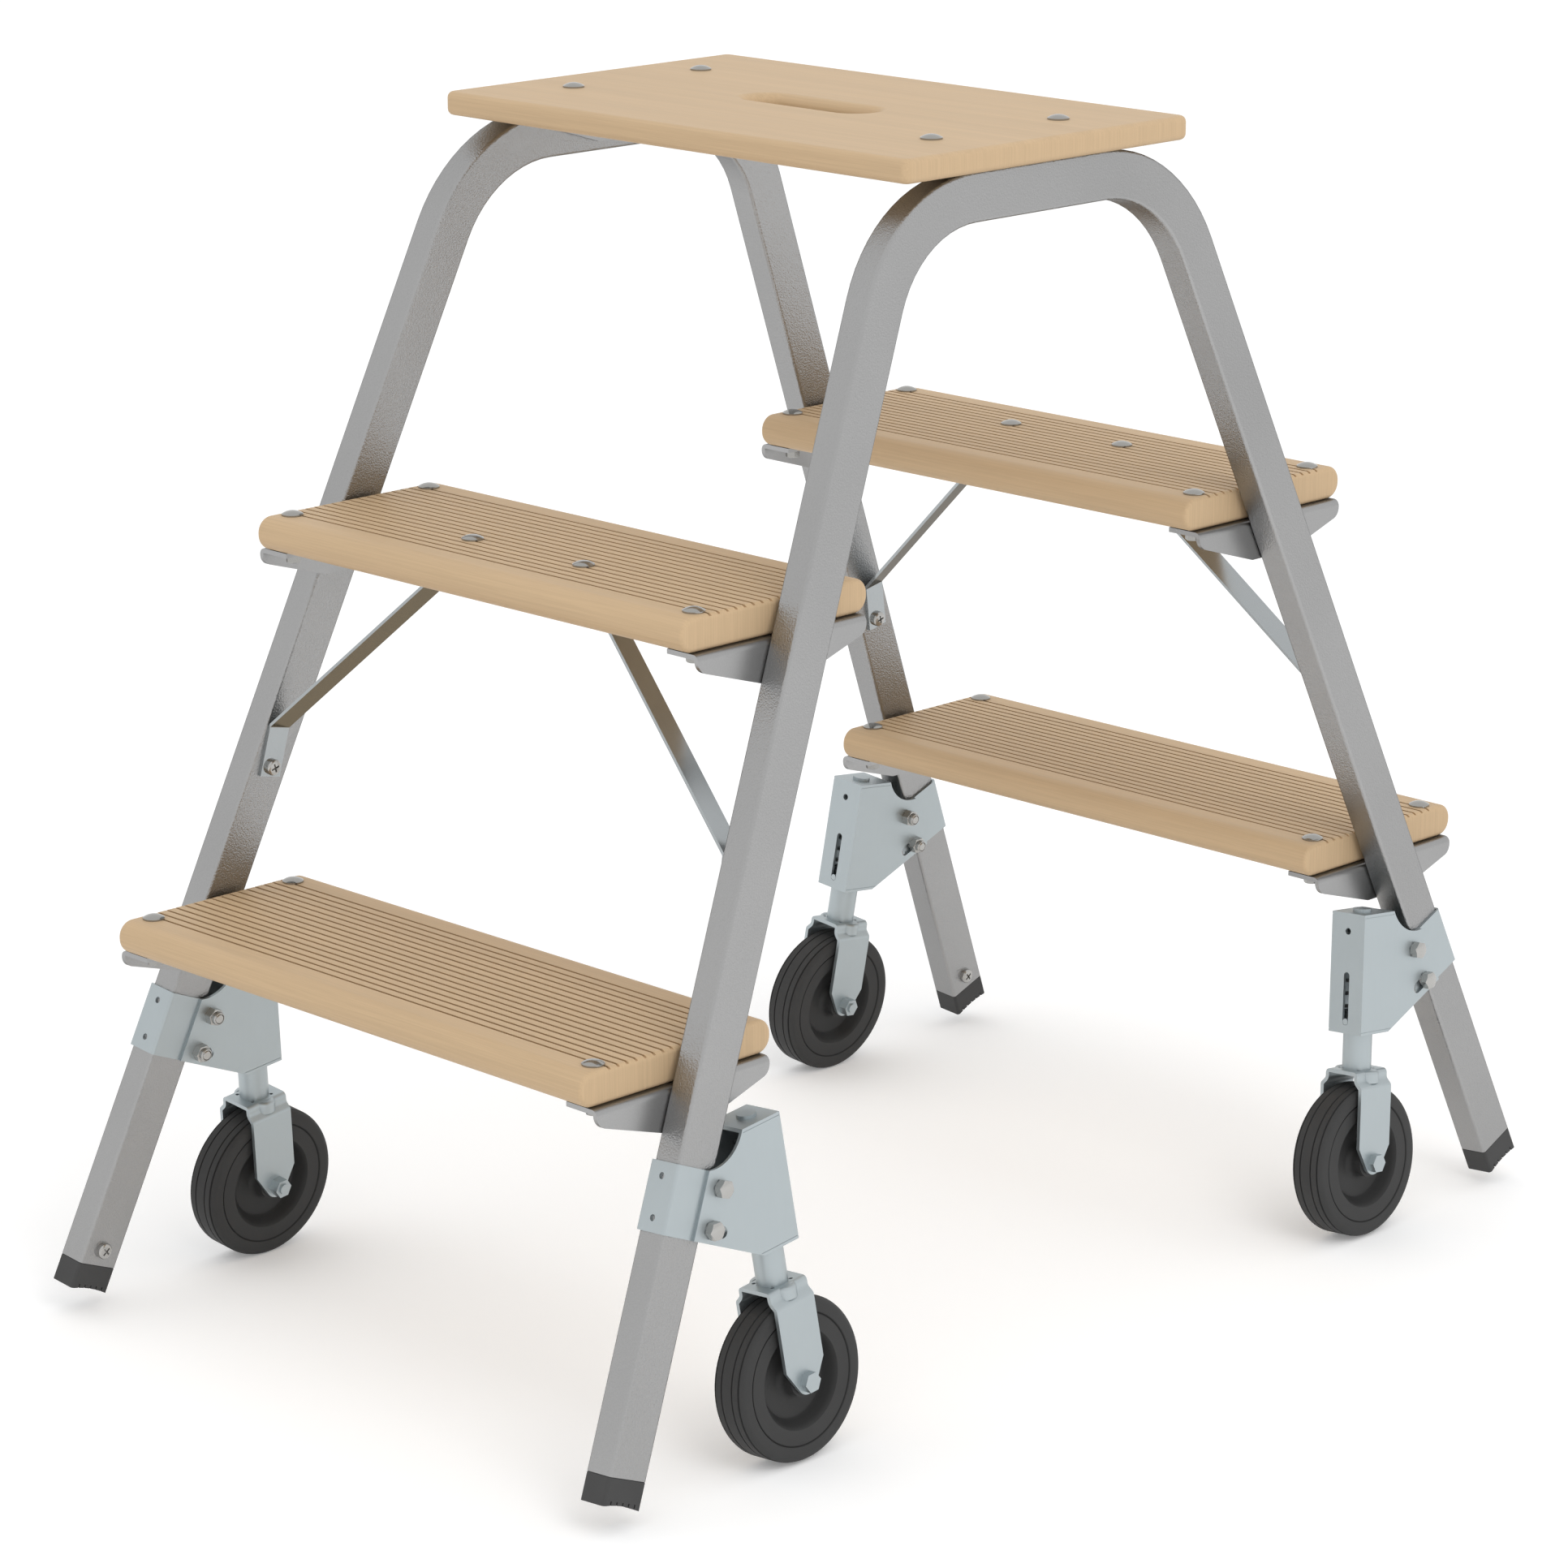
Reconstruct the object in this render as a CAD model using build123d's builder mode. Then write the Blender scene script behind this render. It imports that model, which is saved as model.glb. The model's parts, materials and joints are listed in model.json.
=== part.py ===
# Mobile step platform: a plywood platform and four grooved treads carried by two splayed tube frames,
# with a fixed, spring-loaded castor clamped to each leg. Units are millimetres.
# The origin is the floor point under the middle of the platform, +Z up.
# X runs along the treads (right side +X) and Y runs across the steps (front -Y, back +Y).
import os
from math import acos, atan2, cos, hypot, radians, sin, tan

from build123d import *

# Side frames of bent rectangular tube
splay_angle = 5.0  # lean of each side frame, its feet outwards
leg_slant = 22.7  # lean of each leg within its frame
frame_half_spread = 180.15  # tube centre to the middle of the object, at the frame's datum level
leg_root_offset = 102.6  # leg centreline to the middle, at the frame's datum level
bend_radius = 88.0
leg_length = 781.0  # datum level to the tube's end, along the leg
tube_depth = 30.0  # in the plane of the frame
tube_width = 20.0  # across the frame
tube_wall = 2.0
tube_corner_radius = 2.0
platform_seat_gap = 0.2  # tube's highest edge to the platform's underside

# Plywood boards
board_top_below_datum = 0.65
platform_length = 400.0
platform_depth = 250.0
platform_thickness = 15.0
platform_corner_radius = 6.0
platform_edge_radius = 4.0
hand_slot_length = 104.0
hand_slot_width = 28.0
hand_slot_edge_radius = 6.0
mid_tread_drop = 244.5  # platform top to middle tread top
low_tread_drop = 487.1  # platform top to low tread top
tread_depth = 152.0
tread_thickness = 21.0
tread_nose_radius = 10.0
tread_end_radius = 3.0
tread_end_gap = 3.4  # tread end to the tube, at the tread's top
groove_count = 16
groove_pitch = 7.07
groove_width = 1.8
groove_depth = 1.4

# Angle brackets under the boards
bracket_length = 138.0
bracket_flange = 25.0
bracket_web = 25.0
bracket_thickness = 3.0
bracket_bend_radius = 4.0
bracket_end_height = 9.7
bracket_foot_length = 38.0
bracket_corner_radius = 8.0

# Coach bolts that hold the boards down
board_bolt_hole = 5.5
board_bolt_pitch = 112.0  # between a bracket's two bolts
platform_bolt_inset = 17.0  # bolt to the bracket's outer face
tread_bolt_inset = 16.2

# Flat braces from the middle treads to the legs
brace_bolt_x = 49.0
brace_bolt_y = 241.3
brace_width = 16.0
brace_thickness = 2.0
brace_end_margin = 10.0
brace_upper_bend = 20.0  # bolt to the upper bend
brace_lower_bend_drop = 386.0  # datum level to the lower bend, along the frame
brace_screw_below_bend = 26.0  # along the frame
brace_screw_margin = 6.4  # screw to the strap's end
brace_bend_radius = 3.0
brace_overrun = 10.0  # blank strap above the tread's underside, before it is cut

# Foot caps
foot_cap_length = 17.0
foot_cap_rocker = 1.5
foot_cap_side_radius = 2.0
foot_cap_rim_chamfer = 0.6
sole_groove_count = 5
sole_groove_pitch = 4.8
sole_groove_width = 1.0
sole_groove_depth = 3.5

# Castor housings, clamps and their bolts
wheel_centre_y = 264.1
wheel_centre_drop = 700.1  # datum level to the wheel's centre, along the frame
post_lean = 6.7  # lean of the spring post within the frame, its foot inwards
housing_sheet = 2.0
housing_height = 79.5
housing_base = 84.8  # wheel centre to the housing's underside
housing_web_offset = 13.7  # post centre to the housing's inner wall
housing_top_reach = 16.9  # post centre to the free edge of the top plate
housing_arc_radius = 26.0
housing_ear_lap = 8.0  # side plates over the leg
housing_seam_width = 0.4
housing_seam_depth = 0.3
clamp_sheet = 1.5
clamp_top = 600.5  # datum level to the clamp's top, along the leg
clamp_height = 41.0
clamp_tail = 13.0  # leg to the clamp's free edges
clamp_bend_radius = 2.0
clamp_bolt_diameter = 7.0
clamp_bolt_hole = 7.4
clamp_bolt_pitch = 24.4
clamp_bolt_slot = 17.0
clamp_face_hole = 4.0
web_hole_diameter = 4.4
web_hole_drop = 12.0
web_slot_width = 4.6
web_slot_length = 35.0
web_slot_margin = 5.5
button_diameter = 12.0
button_height = 2.0

# Castor forks
post_diameter = 19.0
post_clearance = 0.3
post_reach_inside = 14.0
pin_clearance = 0.2
fork_top = 60.5  # wheel centre to the fork's top
fork_sheet = 2.5
fork_half_width = 17.0  # wheel's middle to the fork's outer faces
fork_neck_half_width = 13.0
fork_neck_height = 6.0
fork_joggle_height = 4.0
fork_bend_radius = 3.0
fork_leg_width = 31.0
fork_taper_start = 10.4
fork_tip_radius = 8.0
fork_boss_radius = 7.5  # pressed boss that stiffens each top bend
fork_boss_offset = 9.0  # wheel's middle to the boss's centre
fork_boss_proud = 1.0  # wheel's middle side of the boss, out from the neck's inner face
fork_boss_height = 8.0
fork_boss_edge_radius = 2.5
plate_hole_diameter = 2.4  # four holes around the post
plate_hole_offset = 1.4  # post's side to a hole's centre

# Wheels
wheel_radius = 50.0
tyre_width = 24.5
tyre_shoulder_radius = 4.2
rim_radius = 40.0
rim_width = 23.5
rim_edge_chamfer = 0.9  # on rim and tyre, where they meet
rim_recess_radius = 30.5
rim_recess_edge_radius = 2.0
rim_dish_radius = 24.5
rim_dish_fillet = 5.0
rim_web_thickness = 8.0
hub_radius = 10.0
hub_length = 27.0
hub_base_fillet = 4.0
axle_diameter = 7.0
axle_clearance = 0.2
axle_head_size = 11.0
axle_head_height = 4.8
axle_nut_height = 7.0
axle_end_length = 1.5

# Longer than the whole object, for cuts that pass right through
right_through = 1000.0

# Directions within a side frame
splay = radians(splay_angle)
slant = radians(leg_slant)
SIDES = {"left": -1, "right": 1}
ENDS = {"front": -1, "back": 1}
CORNERS = [(s_name, e_name, s, e) for s_name, s in SIDES.items() for e_name, e in ENDS.items()]

# The tyres lean with the frames, so each stands on the shoulder of its outer edge
shoulder_height = (wheel_radius - tyre_shoulder_radius) * cos(splay)
shoulder_tilt = (tyre_width / 2 - tyre_shoulder_radius) * sin(splay)
wheel_centre_z = shoulder_height + shoulder_tilt + tyre_shoulder_radius
datum_z = wheel_centre_z + wheel_centre_drop * cos(splay)
platform_top = datum_z - board_top_below_datum
platform_bottom = platform_top - platform_thickness

# The leaning tube meets the platform's underside with its outer edge
seat_drop = datum_z - platform_bottom + platform_seat_gap
edge_rise = (tube_width / 2 - tube_corner_radius) * sin(splay) + tube_corner_radius
top_bar_drop = (seat_drop + edge_rise) / cos(splay) + tube_depth / 2 - tube_corner_radius


def outward(side):
    """Unit normal of a side frame, away from the middle of the object."""
    return Vector(side * cos(splay), 0, sin(splay))


def frame_plane(side, end, offset=0.0):
    """Plane of a side frame: local x towards that end, local y up the frame, zero at the datum level."""
    origin = Vector(side * frame_half_spread, 0, datum_z) + outward(side) * offset
    return Plane(origin=origin, x_dir=(0, end, 0), z_dir=outward(side) * (side * end))


def turned(plane, across, up, angle):
    """The plane moved within itself and turned about its normal."""
    turned_x = plane.x_dir * cos(radians(angle)) + plane.y_dir * sin(radians(angle))
    return Plane(origin=plane.from_local_coords((across, up, 0)), x_dir=turned_x, z_dir=plane.z_dir)


def leg_plane(side, end, offset=0.0):
    """Local x across the leg and outwards, local y up the leg, zero at the datum level."""
    return turned(frame_plane(side, end, offset), leg_root_offset, 0, leg_slant)


def castor_plane(side, end, offset=0.0):
    """Local x across the castor towards the leg, local y up the post, zero at the wheel's centre."""
    return turned(frame_plane(side, end, offset), wheel_centre_y, -wheel_centre_drop, -post_lean)


def cross_plane(middle_y, height):
    """Upright plane across the treads: local x along Y, local y up."""
    return Plane(origin=(0, middle_y, height), x_dir=(0, 1, 0), z_dir=(1, 0, 0))


def long_plane(side, middle_y=0.0):
    """Upright plane along the treads: local x outwards on that side, local y up."""
    return Plane(origin=(0, middle_y, 0), x_dir=(side, 0, 0), z_dir=(0, -side, 0))


def tube_inner_x(height):
    """Distance from the middle of the object to the inner face of the tube at a height."""
    return frame_half_spread + (datum_z - height) * tan(splay) - tube_width / 2 / cos(splay)


def leg_centre_y(height):
    """Distance from the middle of the object to the leg's centreline, on the tube's inner face."""
    drop = (datum_z - height - tube_width / 2 * sin(splay)) / cos(splay)
    return leg_root_offset + drop * tan(slant)


def strip(path, thickness):
    """Closed outline of a strip that lies to the right of an open path of straight runs."""
    far_side = []
    for index, point in enumerate(path):
        here = Vector(*point)
        runs = []
        if index > 0:
            runs.append((here - Vector(*path[index - 1])).normalized())
        if index < len(path) - 1:
            runs.append((Vector(*path[index + 1]) - here).normalized())
        normals = [Vector(run.Y, -run.X) for run in runs]
        mitre = (normals[0] + normals[-1]).normalized()
        corner = here + mitre * (thickness / mitre.dot(normals[0]))
        far_side.append((corner.X, corner.Y))
    return list(path) + far_side[::-1]


def save(piece, name):
    """Label a finished piece and write it out."""
    piece.label = name
    export_step(piece, f"parts/{name}.step")


os.makedirs("parts", exist_ok=True)

# Half the distance between the bolts of a board's two brackets
platform_bolt_x = tube_inner_x(platform_bottom) - platform_bolt_inset

# Platform board with its hand slot
with BuildPart() as platform_board:
    with BuildSketch(Plane.XY.offset(platform_bottom)):
        RectangleRounded(platform_length, platform_depth, platform_corner_radius)
    extrude(amount=platform_thickness)
    flat_faces = platform_board.faces().filter_by(Axis.Z)
    fillet(flat_faces.edges(), platform_edge_radius)
    with BuildSketch(Plane.XY.offset(platform_bottom)):
        SlotOverall(hand_slot_length, hand_slot_width)
    extrude(amount=platform_thickness, mode=Mode.SUBTRACT)
    slot_rims = [face.inner_wires()[0].edges() for face in platform_board.faces().filter_by(Axis.Z)]
    fillet(slot_rims[0] + slot_rims[1], hand_slot_edge_radius)
    with BuildSketch(Plane.XY.offset(platform_bottom)):
        with GridLocations(2 * platform_bolt_x, board_bolt_pitch, 2, 2):
            Circle(board_bolt_hole / 2)
    extrude(amount=platform_thickness, mode=Mode.SUBTRACT)
save(platform_board.part, "platform_board")

# Side frames: one tube bent into an arch
leg_end_y = leg_root_offset + leg_length * sin(slant)
leg_end_drop = leg_length * cos(slant)
arch_corner_y = leg_root_offset + top_bar_drop * tan(slant)
for side_name, side in SIDES.items():
    with BuildPart() as frame_tube:
        with BuildLine(frame_plane(side, 1)) as arch:
            FilletPolyline(
                (-leg_end_y, -leg_end_drop),
                (-arch_corner_y, -top_bar_drop),
                (arch_corner_y, -top_bar_drop),
                (leg_end_y, -leg_end_drop),
                radius=bend_radius,
            )
        section = Plane(origin=arch.line @ 0, x_dir=outward(side), z_dir=arch.line % 0)
        with BuildSketch(section):
            RectangleRounded(tube_width, tube_depth, tube_corner_radius)
            Rectangle(tube_width - 2 * tube_wall, tube_depth - 2 * tube_wall, mode=Mode.SUBTRACT)
        sweep(path=arch.line)
    save(frame_tube.part, f"frame_tube_{side_name}")


def bracket_profile(top):
    """Outline of an angle bracket, from the flange's free edge to the web's foot."""
    bend_x = tube_inner_x(top)
    foot_x = tube_inner_x(top - bracket_web)
    path = [(bend_x - bracket_flange, top), (bend_x, top), (foot_x, top - bracket_web)]
    return strip(path, bracket_thickness)


def make_bracket(side, middle_y, top, bolt_inset):
    """Angle bracket with its web on the tube's inner face and its flange under a board."""
    half_length = bracket_length / 2
    half_foot = bracket_foot_length / 2
    side_outline = [
        (-half_length, top),
        (half_length, top),
        (half_length, top - bracket_end_height),
        (half_foot, top - bracket_web),
        (-half_foot, top - bracket_web),
        (-half_length, top - bracket_end_height),
    ]
    with BuildPart() as bracket:
        with BuildSketch(long_plane(side, middle_y)) as angle:
            with BuildLine():
                Polyline(*bracket_profile(top), close=True)
            make_face()
            outer_bend = angle.vertices().group_by(Axis.Y)[-1].sort_by(Axis.X)[-1]
            fillet(outer_bend, bracket_bend_radius)
        extrude(amount=half_length, both=True)
        with BuildSketch(cross_plane(middle_y, 0)) as gusset:
            with BuildLine():
                Polyline(*side_outline, close=True)
            make_face()
            ends = gusset.vertices().group_by(Axis.Y)[1]
            fillet(ends, bracket_corner_radius)
        extrude(amount=right_through, both=True, mode=Mode.INTERSECT)
        bolt_x = side * (tube_inner_x(top) - bolt_inset)
        with BuildSketch(Plane(origin=(bolt_x, middle_y, top))):
            with GridLocations(1, board_bolt_pitch, 1, 2):
                Circle(board_bolt_hole / 2)
        extrude(amount=-bracket_thickness, mode=Mode.SUBTRACT)
    return bracket.part


# Brackets under the platform
for side_name, side in SIDES.items():
    platform_bracket = make_bracket(side, 0, platform_bottom, platform_bolt_inset)
    save(platform_bracket, f"platform_bracket_{side_name}")

# Treads with full-round noses and grooved tops, and the brackets under their ends
TREADS = {"mid": mid_tread_drop, "low": low_tread_drop}
for level, tread_drop in TREADS.items():
    tread_top = platform_top - tread_drop
    tread_bottom = tread_top - tread_thickness
    tread_length = 2 * (tube_inner_x(tread_top) - tread_end_gap)
    tread_centre_y = leg_centre_y(tread_bottom - bracket_web / 2)
    tread_bolt_x = tube_inner_x(tread_bottom) - tread_bolt_inset
    for end_name, end in ENDS.items():
        with BuildPart() as tread:
            with BuildSketch(cross_plane(end * tread_centre_y, tread_top)) as profile:
                Rectangle(tread_depth, tread_thickness, align=(Align.CENTER, Align.MAX))
                fillet(profile.vertices(), tread_nose_radius)
            extrude(amount=tread_length / 2, both=True)
            end_faces = tread.faces().filter_by(Axis.X)
            fillet(end_faces.edges(), tread_end_radius)
            with BuildSketch(cross_plane(end * tread_centre_y, tread_top)):
                with GridLocations(groove_pitch, 1, groove_count, 1):
                    Rectangle(groove_width, 2 * groove_depth)
            extrude(amount=tread_length / 2, both=True, mode=Mode.SUBTRACT)
            with BuildSketch(Plane(origin=(0, end * tread_centre_y, tread_bottom))):
                with GridLocations(2 * tread_bolt_x, board_bolt_pitch, 2, 2):
                    Circle(board_bolt_hole / 2)
            extrude(amount=tread_thickness, mode=Mode.SUBTRACT)
            if level == "mid":
                with BuildSketch(Plane(origin=(0, end * brace_bolt_y, tread_bottom))):
                    with GridLocations(2 * brace_bolt_x, 1, 2, 1):
                        Circle(board_bolt_hole / 2)
                extrude(amount=tread_thickness, mode=Mode.SUBTRACT)
        save(tread.part, f"{level}_tread_{end_name}")
        for side_name, side in SIDES.items():
            tread_bracket = make_bracket(side, end * tread_centre_y, tread_bottom, tread_bolt_inset)
            save(tread_bracket, f"{level}_tread_bracket_{side_name}_{end_name}")

# Braces: a straight strap from under each middle tread down to the inner face of each leg.
# Seen square to the side frame, its middle runs straight from its bolt to its screw.
mid_tread_bottom = platform_top - mid_tread_drop - tread_thickness
screw_drop = brace_lower_bend_drop + brace_screw_below_bend
screw_across = leg_root_offset + screw_drop * tan(slant)
for side_name, end_name, side, end in CORNERS:
    inner_face = frame_plane(side, end, -tube_width / 2)
    bolt_point = Vector(side * brace_bolt_x, end * brace_bolt_y, mid_tread_bottom)
    bolt_on_face = inner_face.to_local_coords(bolt_point)
    rise = Vector(bolt_on_face.X - screw_across, bolt_on_face.Y + screw_drop).normalized()
    fold_run = brace_screw_below_bend / rise.Y
    fold_across = screw_across + rise.X * fold_run
    up_strap = inner_face.x_dir * rise.X + inner_face.y_dir * rise.Y

    # Local x off the leg and inwards, local y up the strap, zero at the lower bend
    strap_plane = Plane(
        origin=inner_face.from_local_coords((fold_across, -brace_lower_bend_drop, 0)),
        x_dir=-outward(side),
        z_dir=up_strap.cross(outward(side)),
    )
    level = Vector(strap_plane.y_dir.Z, -strap_plane.x_dir.Z).normalized()
    top_fold = strap_plane.to_local_coords(bolt_point) - level * brace_upper_bend
    slope = top_fold.normalized()
    strap_end = top_fold + slope * brace_overrun

    # The tab under the tread ends on the fold, which isn't square to the strap in plan
    tab_plane = Plane(
        origin=bolt_point,
        x_dir=strap_plane.x_dir * level.X + strap_plane.y_dir * level.Y,
        z_dir=(0, 0, 1),
    )
    run = strap_plane.x_dir * slope.X + strap_plane.y_dir * slope.Y
    fold_line = strap_plane.z_dir * run.Z - run * strap_plane.z_dir.Z
    tab_half = brace_width / 2 / abs(strap_plane.z_dir.dot(tab_plane.y_dir))
    skew = tab_half * fold_line.dot(tab_plane.x_dir) / fold_line.dot(tab_plane.y_dir)
    with BuildPart() as brace:
        with BuildSketch(strap_plane):
            with BuildLine():
                FilletPolyline(
                    (0, -fold_run - brace_screw_margin),
                    (0, 0),
                    (strap_end.X, strap_end.Y),
                    radius=brace_bend_radius,
                )
                offset(amount=brace_thickness, side=Side.RIGHT)
            make_face()
        extrude(amount=brace_width / 2, both=True)
        split(bisect_by=Plane.XY.offset(mid_tread_bottom), keep=Keep.BOTTOM)
        with BuildSketch(tab_plane):
            with BuildLine():
                Polyline(
                    (brace_end_margin, tab_half),
                    (brace_end_margin, -tab_half),
                    (-brace_upper_bend - skew, -tab_half),
                    (-brace_upper_bend + skew, tab_half),
                    close=True,
                )
            make_face()
        extrude(amount=-brace_thickness)
        with BuildSketch(tab_plane):
            Circle(board_bolt_hole / 2)
        extrude(amount=-brace_thickness, mode=Mode.SUBTRACT)
    save(brace.part, f"brace_{side_name}_{end_name}")

# Foot caps with a rocker sole
for side_name, end_name, side, end in CORNERS:
    half_depth = tube_depth / 2
    cap_end = leg_length + foot_cap_length
    with BuildPart() as foot_cap:
        with BuildSketch(leg_plane(side, end)):
            with BuildLine():
                Polyline(
                    (-half_depth, -cap_end),
                    (-half_depth, -leg_length),
                    (half_depth, -leg_length),
                    (half_depth, -cap_end),
                )
                SagittaArc((half_depth, -cap_end), (-half_depth, -cap_end), -foot_cap_rocker)
            make_face()
        extrude(amount=tube_width / 2, both=True)
        leg = leg_plane(side, end)
        long_edges = foot_cap.edges().filter_by(Axis(leg.origin, leg.y_dir))
        fillet(long_edges, foot_cap_side_radius)
        rim_face = foot_cap.faces().sort_by(Axis(leg.origin, leg.y_dir))[-1]
        chamfer(rim_face.edges(), foot_cap_rim_chamfer)
        with BuildSketch(leg):
            with Locations((0, -cap_end)):
                with GridLocations(sole_groove_pitch, 1, sole_groove_count, 1):
                    Rectangle(sole_groove_width, 2 * sole_groove_depth)
        extrude(amount=tube_width, both=True, mode=Mode.SUBTRACT)
    save(foot_cap.part, f"foot_cap_{side_name}_{end_name}")

# Castor housings and clamps
clamp_half_width = tube_width / 2 + clamp_sheet
housing_half_width = clamp_half_width + housing_sheet
clamp_bolt_offset = tube_depth / 2 + clamp_bolt_diameter / 2 + pin_clearance
clamp_middle = clamp_top + clamp_height / 2
clamp_bolt_drops = [clamp_middle - clamp_bolt_pitch / 2, clamp_middle + clamp_bolt_pitch / 2]
ear_edge = -tube_depth / 2 + housing_ear_lap
housing_top = housing_base + housing_height
web_slot_bottom = housing_base + web_slot_margin
pin_height = web_slot_bottom + web_slot_width / 2


def leg_point_in_castor(side, end, across, drop):
    """A point given across and down the leg, in the castor plane's own coordinates."""
    point = leg_plane(side, end).from_local_coords((across, -drop, 0))
    local = castor_plane(side, end).to_local_coords(point)
    return Vector(local.X, local.Y)


for side_name, end_name, side, end in CORNERS:
    ear_top = leg_point_in_castor(side, end, ear_edge, clamp_top)
    ear_bottom = leg_point_in_castor(side, end, ear_edge, clamp_top + clamp_height)
    edge_run = leg_point_in_castor(side, end, -tube_depth / 2, clamp_top + clamp_height) - ear_bottom
    base_end = ear_bottom + edge_run * ((ear_bottom.Y - housing_base) / -edge_run.Y)
    bolt_points = [leg_point_in_castor(side, end, -clamp_bolt_offset, drop) for drop in clamp_bolt_drops]
    castor = castor_plane(side, end)
    with BuildPart() as castor_housing:
        with BuildSketch(castor):
            with BuildLine():
                Polyline(
                    (housing_top_reach, housing_top),
                    (-housing_web_offset, housing_top),
                    (-housing_web_offset, housing_base),
                    (base_end.X, housing_base),
                    (ear_bottom.X, ear_bottom.Y),
                    (ear_top.X, ear_top.Y),
                )
                RadiusArc((ear_top.X, ear_top.Y), (housing_top_reach, housing_top), housing_arc_radius)
            make_face()
        extrude(amount=housing_half_width, both=True)
        with BuildSketch(castor):
            with Locations((housing_sheet - housing_web_offset, housing_base + housing_sheet)):
                Rectangle(
                    right_through,
                    housing_height - 2 * housing_sheet,
                    align=(Align.MIN, Align.MIN),
                )
        extrude(amount=clamp_half_width, both=True, mode=Mode.SUBTRACT)
        web_plane = Plane(
            origin=castor.from_local_coords((-housing_web_offset, 0, 0)),
            x_dir=castor.z_dir,
            z_dir=-castor.x_dir,
        )
        up_sign = 1 if web_plane.y_dir.dot(castor.y_dir) > 0 else -1
        with BuildSketch(web_plane):
            with Locations((0, up_sign * (housing_top - web_hole_drop))):
                Circle(web_hole_diameter / 2)
            with Locations((0, up_sign * (web_slot_bottom + web_slot_length / 2))):
                SlotOverall(web_slot_length, web_slot_width, rotation=90)
        extrude(amount=-housing_sheet, mode=Mode.SUBTRACT)
        with BuildSketch(castor):
            with Locations(tuple(bolt_points[0])[:2]):
                Circle(clamp_bolt_hole / 2)
            slot_angle = leg_slant + post_lean
            slot_shift = Vector(-cos(radians(slot_angle)), -sin(radians(slot_angle)))
            slot_centre = bolt_points[1] + slot_shift * ((clamp_bolt_slot - clamp_bolt_hole) / 2)
            with Locations((slot_centre.X, slot_centre.Y)):
                SlotOverall(clamp_bolt_slot, clamp_bolt_hole, rotation=slot_angle)
        extrude(amount=housing_half_width, both=True, mode=Mode.SUBTRACT)
        base_plane = Plane(
            origin=castor.from_local_coords((0, housing_base, 0)),
            x_dir=castor.x_dir,
            z_dir=castor.y_dir,
        )
        with BuildSketch(base_plane):
            Circle(post_diameter / 2 + post_clearance)
        extrude(amount=housing_sheet, mode=Mode.SUBTRACT)
        with BuildSketch(base_plane.offset(housing_height)):
            Circle(button_diameter / 2)
        extrude(amount=button_height)
        for out in (1, -1):
            with BuildSketch(castor.offset(out * housing_half_width)):
                for seam_height in (housing_top - housing_sheet, housing_base + housing_sheet):
                    with Locations((-housing_web_offset, seam_height)):
                        Rectangle(
                            housing_web_offset + housing_top_reach,
                            housing_seam_width,
                            align=(Align.MIN, Align.CENTER),
                        )
            extrude(amount=-out * housing_seam_depth, mode=Mode.SUBTRACT)
    save(castor_housing.part, f"castor_housing_{side_name}_{end_name}")

    leg = leg_plane(side, end)
    clamp_section = Plane(
        origin=leg.from_local_coords((0, -clamp_top - clamp_height, 0)),
        x_dir=leg.x_dir,
        z_dir=leg.y_dir,
    )
    half_depth = tube_depth / 2
    clamp_path = [
        (-half_depth - clamp_tail, tube_width / 2),
        (half_depth, tube_width / 2),
        (half_depth, -tube_width / 2),
        (-half_depth - clamp_tail, -tube_width / 2),
    ]
    with BuildPart() as leg_clamp:
        with BuildSketch(clamp_section) as wrap:
            with BuildLine():
                Polyline(*strip(clamp_path[::-1], clamp_sheet), close=True)
            make_face()
            outer_bends = wrap.vertices().group_by(Axis.X)[-1]
            fillet(outer_bends, clamp_bend_radius)
        extrude(amount=clamp_height)
        with BuildSketch(leg):
            for drop in clamp_bolt_drops:
                with Locations((-clamp_bolt_offset, -drop)):
                    Circle(clamp_bolt_hole / 2)
        extrude(amount=clamp_half_width, both=True, mode=Mode.SUBTRACT)
        clamp_face = Plane(
            origin=leg.from_local_coords((half_depth, 0, 0)),
            x_dir=leg.y_dir,
            z_dir=leg.x_dir,
        )
        with BuildSketch(clamp_face):
            for drop in clamp_bolt_drops:
                with Locations((-drop, 0)):
                    Circle(clamp_face_hole / 2)
        extrude(amount=clamp_sheet, mode=Mode.SUBTRACT)
    save(leg_clamp.part, f"leg_clamp_{side_name}_{end_name}")

# Castor forks with their posts and guide pins, axles and wheels
fork_profile = [
    (-fork_half_width, -fork_tip_radius),
    (-fork_half_width, fork_top - fork_neck_height - fork_joggle_height),
    (-fork_neck_half_width, fork_top - fork_neck_height),
    (-fork_neck_half_width, fork_top),
    (fork_neck_half_width, fork_top),
    (fork_neck_half_width, fork_top - fork_neck_height),
    (fork_half_width, fork_top - fork_neck_height - fork_joggle_height),
    (fork_half_width, -fork_tip_radius),
]
rim_profile = [
    (axle_diameter / 2 + axle_clearance, hub_length / 2),
    (hub_radius, hub_length / 2),
    (hub_radius, rim_web_thickness / 2),
    (rim_dish_radius, rim_web_thickness / 2),
    (rim_recess_radius, rim_width / 2),
    (rim_radius, rim_width / 2),
]
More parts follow.
